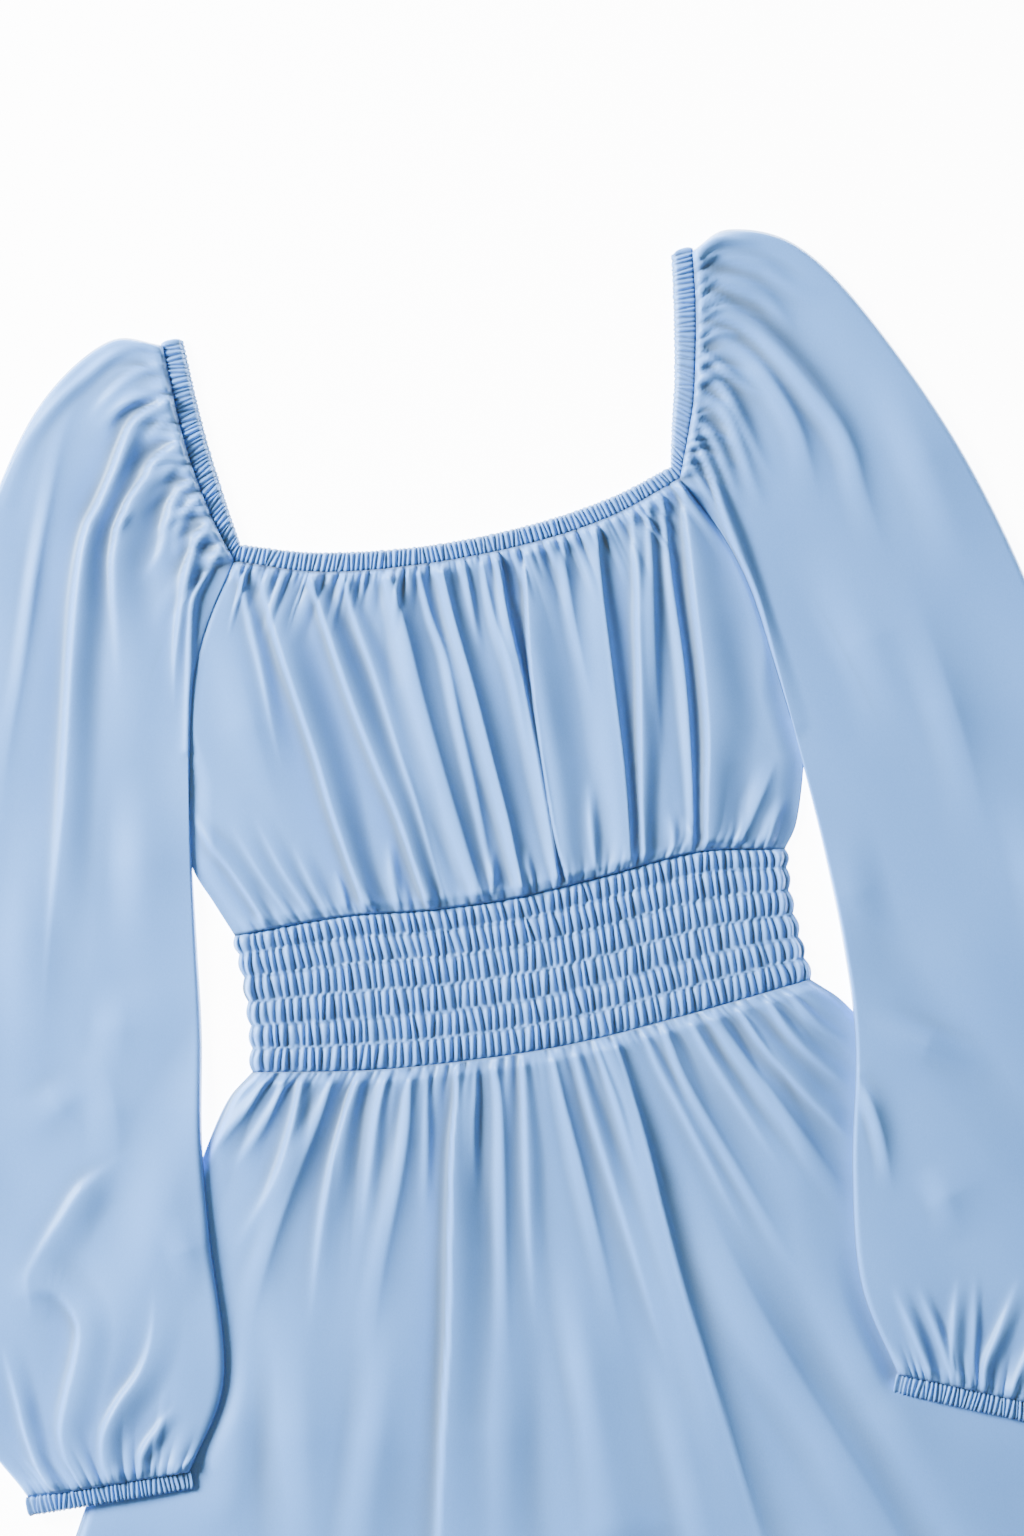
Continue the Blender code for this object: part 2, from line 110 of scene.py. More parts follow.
def folds(x, y, rows):
    # Each row: crest points from the neck down, rise, width to the left and to the right of
    # the crest, depth of the valley beside its narrower side, share of the rise at each end.
    # The narrower side falls away at once, as where one layer laps over the next.
    z = np.zeros(x.shape)
    parts = 60
    for points, rise, left, right, dip, start, end in rows:
        crest = curve(points, parts)
        narrow, wide = min(left, right), max(left, right)
        reach = 1.3 * max(wide, 5 * narrow)
        near = ((x > crest[:, 0].min() - reach) & (x < crest[:, 0].max() + reach)
                & (y > crest[:, 1].min() - reach) & (y < crest[:, 1].max() + reach))
        if not near.any():
            continue
        px, py = x[near], y[near]
        gap = (px[:, None] - crest[:, 0]) ** 2 + (py[:, None] - crest[:, 1]) ** 2
        at = gap.argmin(1)
        heading = np.gradient(crest, axis=0)
        step = np.linalg.norm(heading, axis=1)
        heading /= step[:, None]
        dx, dy = px - crest[at, 0], py - crest[at, 1]
        side = heading[at, 0] * dy - heading[at, 1] * dx
        ahead = heading[at, 0] * dx + heading[at, 1] * dy
        t = (at + ahead / step[at]) / parts
        over = np.maximum(-t, t - 1) * step.mean() * parts
        onset = 0.28 if start > 0 else 0.6
        taper = 0.4 if end > 0.4 else 0.7
        fade = start + (1 - start) * smooth(t / onset)
        fade = np.minimum(fade, end + (1 - end) * smooth((1 - t) / taper))
        fade = fade * (1 - smooth(over / (0.8 * wide)))
        first = 0.5 if start > 0.4 else 1.0
        last = 0.6 if end > 0.4 else 1.3
        spread = np.interp(t, [0, 0.35, 0.65, 1], [first, 1, 1, last])
        steep = side if left > right else -side
        soft = 0.35 + 0.5 * max(0, narrow - 7)
        away = np.sqrt(np.maximum(steep, 0) ** 2 + soft**2) - soft
        lap = (1 + dip) * np.exp(-away / (narrow * spread))
        lap -= dip * np.exp(-away / (4 * narrow * spread))
        lap *= 1 - smooth(away / reach)
        swell = (1 + np.cos(np.pi * np.clip(-steep / (wide * spread), 0, 1))) / 2
        if left > right and narrow < 6:
            swell = 0.82 * swell + 0.18 * np.exp(np.minimum(steep, 0) / 1.6)
        z[near] += rise * fade * np.where(steep < 0, swell, lap)
    return z


def gathers(along, away, length, look, seed):
    # Puckers that run out of a seam side by side, round on top with sharp gaps between them.
    # look lists sizes of pucker, each with its pitch, reach and rise, and says how they lean.
    rng = np.random.RandomState(seed)
    z = np.zeros(away.shape)
    lean = look["lean"] * (np.sin(along / 23.0 + seed) + 0.6 * np.sin(along / 9.1 + 2 * seed))
    for pitch, reach, rise in look["sizes"]:
        count = int(round(length / pitch))
        edges = np.linspace(0, length, count + 1)
        edges[1:-1] += rng.normal(0, 0.2 * pitch, count - 1)
        edges = np.sort(edges)
        tall = rng.uniform(0.35, 1.15, count)
        far = reach * rng.uniform(0.35, 1.5, count)
        place = np.clip(along + lean * away, 0, length)
        at = np.clip(np.searchsorted(edges, place, side="right") - 1, 0, count - 1)
        t = (place - edges[at]) / np.maximum(edges[at + 1] - edges[at], 1e-6)
        puff = np.sin(np.pi * np.clip(t, 0, 1)) ** (0.6 + 0.9 * np.clip(away / far[at], 0, 1))
        z += rise * tall[at] * puff * np.clip(1 - away / far[at], 0, 1) ** 1.6
    return z


def ripple(x, y, size, seed, turns=7):  # a soft irregular waviness, about -1 to 1
    rng = np.random.RandomState(seed)
    z = np.zeros(x.shape)
    for _ in range(turns):
        angle, phase = rng.uniform(0, math.pi), rng.uniform(0, 2 * math.pi)
        wave = 2 * math.pi / (size * rng.uniform(0.6, 1.7))
        z += np.sin((x * math.cos(angle) + y * math.sin(angle)) * wave + phase)
    return z / math.sqrt(turns)


def deselect():
    bpy.ops.object.select_all(action="DESELECT")


def pick(piece):
    deselect()
    piece.select_set(True)
    bpy.context.view_layer.objects.active = piece


def thicken(piece, thickness):  # gives the cloth its wall, below the mesh's own surface
    pick(piece)
    modifier = piece.modifiers.new("wall", "SOLIDIFY")
    modifier.thickness = thickness * mm
    modifier.offset = -1
    bpy.ops.object.modifier_apply(modifier=modifier.name)


def shadeInHollows(z, across, down, shadeDepth):
    # How far the cloth lies below its surroundings, 0 to 1, in the gaps of the gathers: the mask of
    # the painted shade that darkens the colour there.
    spread = z
    for axis, radius in ((0, down), (1, across)):
        for _ in range(2):
            ends = [(0, 0), (0, 0)]
            ends[axis] = (radius + 1, radius)
            total = np.cumsum(np.pad(spread, ends, mode="edge"), axis=axis)
            size = total.shape[axis]
            high = np.take(total, range(2 * radius + 1, size), axis=axis)
            low = np.take(total, range(0, size - 2 * radius - 1), axis=axis)
            spread = (high - low) / (2 * radius + 1)
    return np.clip((spread - z) / shadeDepth, 0, 1)


def sheetMesh(name, points, wall, closed=False, creaseShade=None):
    # A grid primitive moved to the points (rows, columns, 3), then given its thickness.
    rows, columns = points.shape[:2]
    deselect()
    bpy.ops.mesh.primitive_grid_add(x_subdivisions=columns - (not closed),
                                    y_subdivisions=rows - 1, size=1)
    piece = bpy.context.active_object
    piece.name = piece.data.name = name
    grid = np.concatenate([points, points[:, :1]], axis=1) if closed else points
    piece.data.vertices.foreach_set("co", (grid * mm).astype(np.float32).ravel())
    # The painted shade for the material, one value per point.
    if creaseShade is not None:
        shadeDepth = np.concatenate([creaseShade, creaseShade[:, :1]], axis=1) if closed else creaseShade
        shadeLayer = piece.data.attributes.new("creaseShade", "FLOAT", "POINT")
        shadeLayer.data.foreach_set("value", shadeDepth.astype(np.float32).ravel())
    bpy.ops.object.mode_set(mode="EDIT")
    bpy.ops.mesh.select_all(action="SELECT")
    if closed:
        bpy.ops.mesh.remove_doubles(threshold=0.000002)
    if facesDown(points):
        bpy.ops.mesh.flip_normals()
    bpy.ops.object.mode_set(mode="OBJECT")
    if wall:
        thicken(piece, wall)
    pick(piece)
    bpy.ops.object.shade_smooth()
    return piece


def facesDown(points):  # whether the first cell of the top layer looks down
    a, b, c = points[1, 1], points[1, 2], points[2, 1]
    return np.cross(b - a, c - a)[2] < 0


def finishPiece(piece, node, material):
    piece.data.materials.clear()
    piece.data.materials.append(material)
    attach(piece, "root")
    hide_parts(node)


def satin(name, look):
    material = bpy.data.materials.new(name)
    material.use_nodes = True
    nodes, links = material.node_tree.nodes, material.node_tree.links
    shader = nodes["Principled BSDF"]
    shader.inputs["Roughness"].default_value = look["roughness"]
    shader.inputs["Specular IOR Level"].default_value = look["specular"]
    shader.inputs["Specular Tint"].default_value = (0.6, 0.82, 1.0, 1.0)
    shader.inputs["Sheen Weight"].default_value = look["sheen"]
    shader.inputs["Sheen Roughness"].default_value = 0.45
    shader.inputs["Sheen Tint"].default_value = (0.8, 0.9, 1.0, 1.0)
    place = nodes.new("ShaderNodeTexCoord")

    def noise(scale, detail, stretch=(1, 1, 1)):
        mapping = nodes.new("ShaderNodeMapping")
        mapping.inputs["Scale"].default_value = stretch
        links.new(place.outputs["Object"], mapping.inputs["Vector"])
        texture = nodes.new("ShaderNodeTexNoise")
        texture.inputs["Scale"].default_value = scale
        texture.inputs["Detail"].default_value = detail
        links.new(mapping.outputs["Vector"], texture.inputs["Vector"])
        return texture.outputs["Fac"]

    tint = nodes.new("ShaderNodeValToRGB")  # slow drift of the dye, and a fine thread grain
    tint.color_ramp.elements[0].position, tint.color_ramp.elements[1].position = 0.3, 0.7
    tint.color_ramp.elements[0].color = look["deep"]
    tint.color_ramp.elements[1].color = look["light"]
    blend = nodes.new("ShaderNodeMix")
    blend.inputs["Factor"].default_value = 0.6
    links.new(noise(look["driftScale"], 3), blend.inputs["A"])
    links.new(noise(look["threadScale"], 2, (1, 0.6, 1)), blend.inputs["B"])
    links.new(blend.outputs["Result"], tint.inputs["Fac"])

    creaseShade = nodes.new("ShaderNodeAttribute")  # painted shade, 1 where the colour is darkened down in the gaps of the gathers
    creaseShade.attribute_name = "creaseShade"
    # The painted shade: the colour is multiplied by a darker, greyer one where the mask is 1.
    shade = nodes.new("ShaderNodeMix")
    shade.data_type = "RGBA"
    shade.blend_type = "MULTIPLY"
    shade.inputs["B"].default_value = look["gap"]
    links.new(creaseShade.outputs["Fac"], shade.inputs["Factor"])
    links.new(tint.outputs["Color"], shade.inputs["A"])
    links.new(shade.outputs["Result"], shader.inputs["Base Color"])

    grain = nodes.new("ShaderNodeBump")  # the crepe's grain
    grain.inputs["Strength"].default_value = look["grain"]
    grain.inputs["Distance"].default_value = look["grainDepth"]
    links.new(noise(look["grainScale"], 3, (1, 0.55, 1)), grain.inputs["Height"])
    links.new(grain.outputs["Normal"], shader.inputs["Normal"])
    return material


satinLook = {
    "deep": (0.13, 0.35, 0.86, 1),
    "light": (0.165, 0.415, 0.94, 1),
    "gap": (0.80, 0.55, 0.42, 1),  # painted shade: multiplies the colour darker down in the gaps of the gathers
    "roughness": 0.42,
    "specular": 0.5,
    "sheen": 0.1,
    "driftScale": 14,
    "threadScale": 1500,
    "grain": 0.4,
    "grainScale": 1900,
    "grainDepth": 0.00012,  # metres
}
cloth = satin("satinCrepe", satinLook)
# The casings' painted shade between their ribs is darker still.
casingCloth = satin("satinCasing", {**satinLook, "gap": (0.74, 0.52, 0.40, 1), "grain": 0.25})
print("satin made")

# Heights above the floor, in millimetres, and the thickness of the cloth.
backLevel, frontLevel, seamLevel = 0.5, 3.4, 2.5
edgeLow = 1.9  # where a front panel's edge comes down to its back panel
wall = 0.45

sleeveLay = {
    "grid": (235, 80),  # rows down the sleeve, and half the columns across its upper layer
    "lift": 3.6,
    "foldRise": 1.4,
    "outerRoll": 3,
    "skirtUnder": (3.2, 46, 40),  # how high the skirt carries it, from how far out, over what
    "crownLength": 135,
    "cuffLength": 95,
    "crown": {"sizes": [(3.4, 12, 1.7), (7.4, 36, 4.0), (15, 60, 2.2)], "lean": 0.05},
    "cuff": {"sizes": [(3.0, 8, 1.0), (6.4, 26, 2.6), (12, 50, 1.8)], "lean": 0.07},
    "flat": (0.40, 0.70),
    "area": 0.235,
}

# Each sleeve's edges and folds, the inner edge of its casing, and the depth of its cuff.
sleeves = {
    "left": {
        "turn": 1,
        "innerRoll": 6,
        "raglan": raglanLeft,
        "shoulder": [(-130.3, 254.5), (-138, 277), (-144.5, 305), (-149, 335), (-152, 384)],
        "strap": [(-125.2, 263), (-130.6, 288), (-135.2, 315), (-138.6, 345), (-141.4, 383)],
        "inner": [(-178, 118), (-181.5, 84), (-186, 35), (-191, -15), (-200, -75), (-204, -130),
                  (-208, -212), (-236, -262)],
        "outer": [(-152, 384), (-182, 391), (-222, 366), (-256, 321), (-300, 238), (-330, 130),
                  (-350, 0), (-364, -130), (-355, -215), (-331, -263)],
        "cut": [(-236, -262.5), (-331, -263.5)],
        "cuffDepth": 10.0,
        "folds": [
            ([(-157, 386), (-178, 384), (-200, 372), (-218, 360), (-238, 340), (-256, 308)],
             1.6, 2.4, 8, 0.3, 0.5, 0.2),
            ([(-186, 379), (-205, 360), (-218, 338), (-230, 306), (-244, 266), (-261, 210),
              (-279, 155), (-290, 110)], 2.0, 9, 3.5, 0.2, 0.0, 0.0),
            ([(-152, 372), (-170, 369), (-188, 358), (-202, 344)], 1.8, 5, 4, 0.4, 0.8, 0.0),
            ([(-151, 358), (-172, 355), (-186, 347), (-196, 330)], 3.2, 15, 3.2, 0.4, 0.8, 0.0),
            ([(-152, 351), (-166, 347), (-178, 338), (-189, 318), (-201, 299), (-211, 284),
              (-220, 258), (-231, 214), (-243, 158), (-252, 118), (-272, 40), (-284, -20)],
             3.8, 4, 19, 0.9, 0.8, 0.0),
            ([(-150, 342), (-160, 338), (-170, 328)], 1.6, 5, 3, 0.3, 0.8, 0.0),
            ([(-148, 327), (-163, 320), (-173, 309), (-186, 294), (-197, 271), (-201, 248),
              (-203, 222), (-207, 180)], 3.6, 3.5, 22, 0.9, 0.8, 0.0),
            ([(-147, 316), (-158, 312), (-168, 300)], 1.8, 4, 4, 0.4, 0.8, 0.0),
            ([(-186, 290), (-193, 283), (-197, 275)], 1.6, 4, 2.4, 0.3, 0.5, 0.0),
            ([(-146, 303), (-157, 297), (-164, 284), (-172, 264), (-187, 248)],
             2.8, 2.6, 10, 0.6, 0.8, 0.0),
            ([(-142, 293), (-152, 288), (-160, 274), (-164, 254)], 2.2, 2.4, 6, 0.5, 0.8, 0.0),
            ([(-138, 278), (-148, 270), (-155, 258), (-161, 241), (-167, 222), (-173, 198),
              (-178, 168)], 3.2, 2.4, 8, 0.6, 0.8, 0.0),
            ([(-134, 265), (-146, 250), (-156, 236), (-161, 218), (-166, 192), (-174, 150)],
             2.4, 2.2, 5, 0.5, 0.7, 0.3),
            ([(-258, 150), (-270, 90), (-282, 20), (-292, -40)], 2.4, 24, 14, 0.0, 0.0, 0.0),
            ([(-200, 150), (-210, 90), (-218, 20)], 2.0, 20, 16, 0.0, 0.0, 0.0),
            ([(-230, 30), (-238, -10), (-248, -40)], 2.0, 20, 14, 0.0, 0.0, 0.0),
            ([(-318, 60), (-330, 0), (-338, -70)], 2.0, 18, 14, 0.0, 0.0, 0.0),
            ([(-254, -32), (-276, -42), (-304, -56)], 1.9, 20, 11, 0.2, 0.0, 0.0),
            ([(-252, -2), (-248, -36), (-248, -64), (-256, -88), (-268, -99)],
             1.6, 20, 11, 0.2, 0.0, 0.0),
            ([(-252, -80), (-272, -91), (-287, -107), (-301, -123), (-311, -137), (-312, -147)],
             2.2, 3, 22, 0.4, 0.1, 0.3),
            ([(-309, -147), (-298, -148), (-290, -157), (-286, -171), (-291, -189), (-298, -206),
              (-305, -226), (-305, -242), (-299, -259)], 2.7, 2.6, 20, 0.5, 0.2, 0.7),
            ([(-332, -168), (-328, -205), (-326, -226), (-322, -246), (-316, -260)],
             2.8, 2.6, 12, 0.5, 0.0, 0.8),
            ([(-238, -150), (-245, -181), (-255, -201), (-270, -217), (-281, -233), (-284, -249),
              (-281, -261)], 2.7, 2.6, 18, 0.5, 0.0, 0.8),
            ([(-236, -222), (-250, -235), (-261, -248), (-263, -261)], 2.4, 2.4, 8, 0.5, 0.0, 0.8),
            ([(-212, -232), (-226, -250), (-240, -260)], 2.0, 2.4, 5, 0.4, 0.0, 0.7),
            ([(-222, -110), (-216, -140), (-212, -165)], 1.8, 16, 12, 0.0, 0.0, 0.0),
        ],
    },
    "right": {
        "turn": -1,
        "innerRoll": 3,
        "raglan": raglanRight,
        "shoulder": [(132.9, 262.3), (141, 285), (148.5, 310), (156.5, 355), (160, 391)],
        "strap": [(128.4, 269.3), (133.8, 293), (139.6, 318), (145, 355), (149, 389.5)],
        "inner": [(175.5, 114), (178.5, 82), (182.5, 35), (185, -20), (183, -78), (170, -150),
                  (165, -215), (178, -269)],
        "outer": [(160, 391), (183, 400), (220, 385), (256, 336), (300, 243), (331, 130),
                  (345, 0), (342, -120), (320, -215), (266, -303)],
        "cut": [(178, -269.5), (266, -303.5)],
        "cuffDepth": 11.0,
        "folds": [
            ([(162, 393), (178, 394), (200, 388)], 1.6, 4, 4, 0.3, 0.8, 0.0),
            ([(162, 386), (180, 384), (198, 377), (216, 362), (238, 354)],
             2.0, 10, 4, 0.3, 0.6, 0.0),
            ([(161, 374), (178, 370), (194, 362), (204, 350), (212, 330)],
             2.8, 10, 4.5, 0.4, 0.8, 0.0),
            ([(160, 366), (172, 360), (184, 352)], 2.0, 5, 2.4, 0.5, 0.8, 0.0),
            ([(159, 357), (175, 352), (190, 341), (205, 321), (218, 299), (228, 281),
              (234, 262), (237, 238), (245, 190)], 4.8, 15, 6.5, 0.3, 0.8, 0.0),
            ([(157, 345), (170, 341), (182, 337)], 1.8, 4, 3, 0.4, 0.8, 0.0),
            ([(172, 336), (188, 319), (198, 300), (205, 280), (208, 258), (210, 232)],
             3.4, 14, 5.5, 0.3, 0.3, 0.0),
            ([(155, 333), (167, 322), (178, 310), (190, 298)], 2.4, 5, 2.4, 0.6, 0.8, 0.0),
            ([(152, 322), (165, 311), (173, 291), (181, 266), (188, 248)],
             3.0, 9, 3.6, 0.5, 0.8, 0.0),
            ([(149, 310), (163, 298), (169, 280), (174, 256), (179, 232)],
             2.8, 8, 3.2, 0.5, 0.8, 0.0),
            ([(146, 296), (155, 284), (161, 262), (165, 238)], 2.2, 6, 3, 0.4, 0.8, 0.0),
            ([(143, 285), (149, 268), (154, 240), (160, 211), (166, 178), (171, 145),
              (175, 110)], 3.2, 2.2, 9, 0.8, 0.6, 0.2),
            ([(138, 275), (147, 250), (156, 222)], 1.6, 2.2, 4, 0.5, 0.7, 0.0),
            ([(205, 222), (218, 180), (232, 130), (240, 70)], 2.6, 26, 18, 0.0, 0.0, 0.0),
            ([(256, 330), (268, 280), (282, 220), (290, 160)], 2.2, 22, 16, 0.0, 0.0, 0.0),
            ([(252, 190), (263, 135), (272, 80), (277, 10)], 2.2, 22, 10, 0.2, 0.0, 0.0),
            ([(192, 60), (196, 0), (204, -50)], 2.0, 16, 22, 0.0, 0.0, 0.0),
            ([(300, 60), (306, 0), (306, -60)], 2.0, 22, 18, 0.0, 0.0, 0.0),
            ([(190, -63), (226, -86), (262, -109)], 2.2, 8, 16, 0.2, 0.0, 0.0),
            ([(181, -96), (187, -115), (190, -136), (191, -170)], 2.8, 9, 6, 0.3, 0.2, 0.0),
            ([(212, -150), (222, -175), (226, -200)], 2.0, 16, 12, 0.0, 0.0, 0.0),
            ([(182, -216), (189, -242), (194, -262), (197, -276)], 2.2, 2.6, 8, 0.5, 0.0, 0.8),
            ([(196, -218), (204, -250), (208, -276)], 2.0, 2.6, 6, 0.5, 0.0, 0.8),
            ([(222, -216), (214, -244), (210, -266), (212, -280)], 2.2, 2.6, 9, 0.6, 0.0, 0.8),
            ([(231, -216), (226, -246), (222, -268), (221, -283)], 1.6, 4, 5, 0.3, 0.0, 0.8),
            ([(258, -222), (240, -252), (228, -272), (225, -287)], 2.4, 2.6, 10, 0.6, 0.0, 0.8),
            ([(268, -248), (250, -274), (240, -291)], 2.0, 2.6, 8, 0.5, 0.0, 0.8),
        ],
    },
}

# The panels: folds listed, puckers by rule.
bodice = {
    "grid": (100, 380),
    "raglanRows": 62,
    "lift": 1.2,
    "foldRise": 1.35,
    "neckLength": 275,
    "waistLength": 330,
    "flat": (0.60, 0.26),
    "area": 0.105,
    "folds": [
        ([(-140, 232), (-136, 180), (-130, 120), (-122, 75)], 2.6, 28, 13, 0.0, 0.0, 0.0),
        ([(-128, 250), (-127, 225), (-124, 190), (-122, 150), (-119, 120)],
         1.8, 2, 9, 0.3, 0.8, 0.0),
        ([(-116, 240), (-112, 205), (-106, 170), (-100, 135), (-96, 105), (-91, 75), (-85, 43)],
         4.4, 2.6, 20, 0.6, 0.4, 0.9),
        ([(-88, 238), (-83, 208), (-77, 175), (-72, 150), (-65, 120), (-58, 92), (-50, 43)],
         4.2, 2.6, 18, 0.6, 0.6, 1.0),
        ([(-68, 230), (-66, 210), (-59, 175), (-52, 130), (-46, 95), (-40, 45)],
         2.2, 2.6, 14, 0.5, 0.8, 0.5),
        ([(-42, 235), (-37, 195), (-34, 160), (-29, 118), (-23, 75), (-18, 42)],
         4.4, 18, 7, 0.15, 0.8, 0.9),
        ([(-25, 232), (-22, 205), (-17, 180), (-15, 145), (-12, 100), (-10, 50)],
         2.4, 7, 4, 0.2, 0.8, 0.5),
        ([(-12, 235), (-9, 200), (-4, 160), (0, 120), (4, 80), (6, 42)],
         4.2, 12, 5.5, 0.25, 0.8, 0.9),
        ([(2, 232), (2, 205), (3, 175)], 1.8, 3, 4, 0.2, 0.8, 0.0),
        ([(12, 230), (14, 200), (20, 160), (21, 100)], 2.0, 7, 4, 0.2, 0.8, 0.0),
        ([(22, 234), (22, 200), (25, 160), (26, 120), (27.3, 60), (28, 41)],
         3.6, 10, 1.8, 0.9, 0.7, 0.8),
        ([(37, 234), (34, 205), (31, 175), (29.5, 140), (29.3, 100), (30, 65), (33, 41)],
         4.0, 1.8, 28, 0.8, 0.5, 0.9),
        ([(60, 237), (59, 210), (60, 180), (63, 130)], 2.0, 8, 5, 0.2, 0.8, 0.0),
        ([(54, 100), (51, 70), (50, 46)], 1.8, 3, 6, 0.4, 0.0, 0.8),
        ([(80, 237), (78, 200), (76.5, 150), (75, 100), (72, 62), (70, 44)],
         3.8, 22, 3.2, 0.45, 0.8, 0.8),
        ([(104, 232), (97, 190), (92, 150), (87, 115), (82, 80), (78, 46)],
         3.6, 2.6, 13, 0.5, 0.3, 0.9),
        ([(102, 245), (100, 215), (97, 190)], 1.8, 4, 3, 0.2, 0.9, 0.0),
        ([(112, 248), (108, 205), (103, 165), (99, 125), (96, 80)], 2.4, 7, 4, 0.3, 0.8, 0.0),
        ([(121, 250), (119, 205), (118, 150), (114, 100), (109, 58)], 3.0, 8, 2.4, 0.6, 0.6, 0.6),
        ([(133, 256), (131, 205), (129, 150), (126, 112), (119, 72), (115, 48)],
         4.2, 3.0, 30, 0.6, 0.5, 0.9),
        ([(-177, 112), (-170, 96), (-158, 76), (-148, 54), (-145, 44)],
         1.8, 2.4, 12, 1.2, 0.6, 0.8),
        ([(-156, 108), (-146, 82), (-134, 55), (-130, 44)], 1.3, 2.4, 12, 0.5, 0.0, 0.8),
        ([(-142, 110), (-132, 80), (-122, 56), (-117, 44)], 1.4, 2.4, 10, 0.5, 0.0, 0.8),
        ([(-122, 90), (-113, 60), (-106, 43)], 1.3, 2.4, 9, 0.5, 0.0, 0.8),
        ([(-100, 70), (-97, 55), (-96, 43)], 1.4, 3, 3, 0.4, 0.0, 0.8),
        ([(-66, 85), (-67, 60), (-66, 42)], 1.6, 3, 6, 0.3, 0.0, 0.8),
        ([(166, 98), (154, 78), (144, 62), (136, 49)], 2.2, 11, 5, 0.3, 0.0, 0.9),
        ([(168, 72), (157, 58), (150, 46)], 1.6, 7, 4, 0.3, 0.0, 0.8),
        ([(97, 75), (97, 60), (95, 46)], 1.6, 3, 5, 0.3, 0.0, 0.8),
        ([(105, 70), (107, 55), (105, 46)], 1.4, 3, 4, 0.3, 0.0, 0.8),
        ([(12, 66), (11, 55), (12, 41)], 1.4, 3, 4, 0.3, 0.0, 0.8),
        ([(-8, 70), (-9, 55), (-12, 41)], 1.4, 3, 4, 0.3, 0.0, 0.8),
    ],
    "neckGathers": {"sizes": [(3.3, 10, 1.4), (6.8, 32, 4.0), (13, 55, 2.0)], "lean": 0.06},
    "waistGathers": {"sizes": [(3.6, 7, 0.9), (6.8, 20, 2.0), (13.5, 36, 1.2)], "lean": 0.06},
}
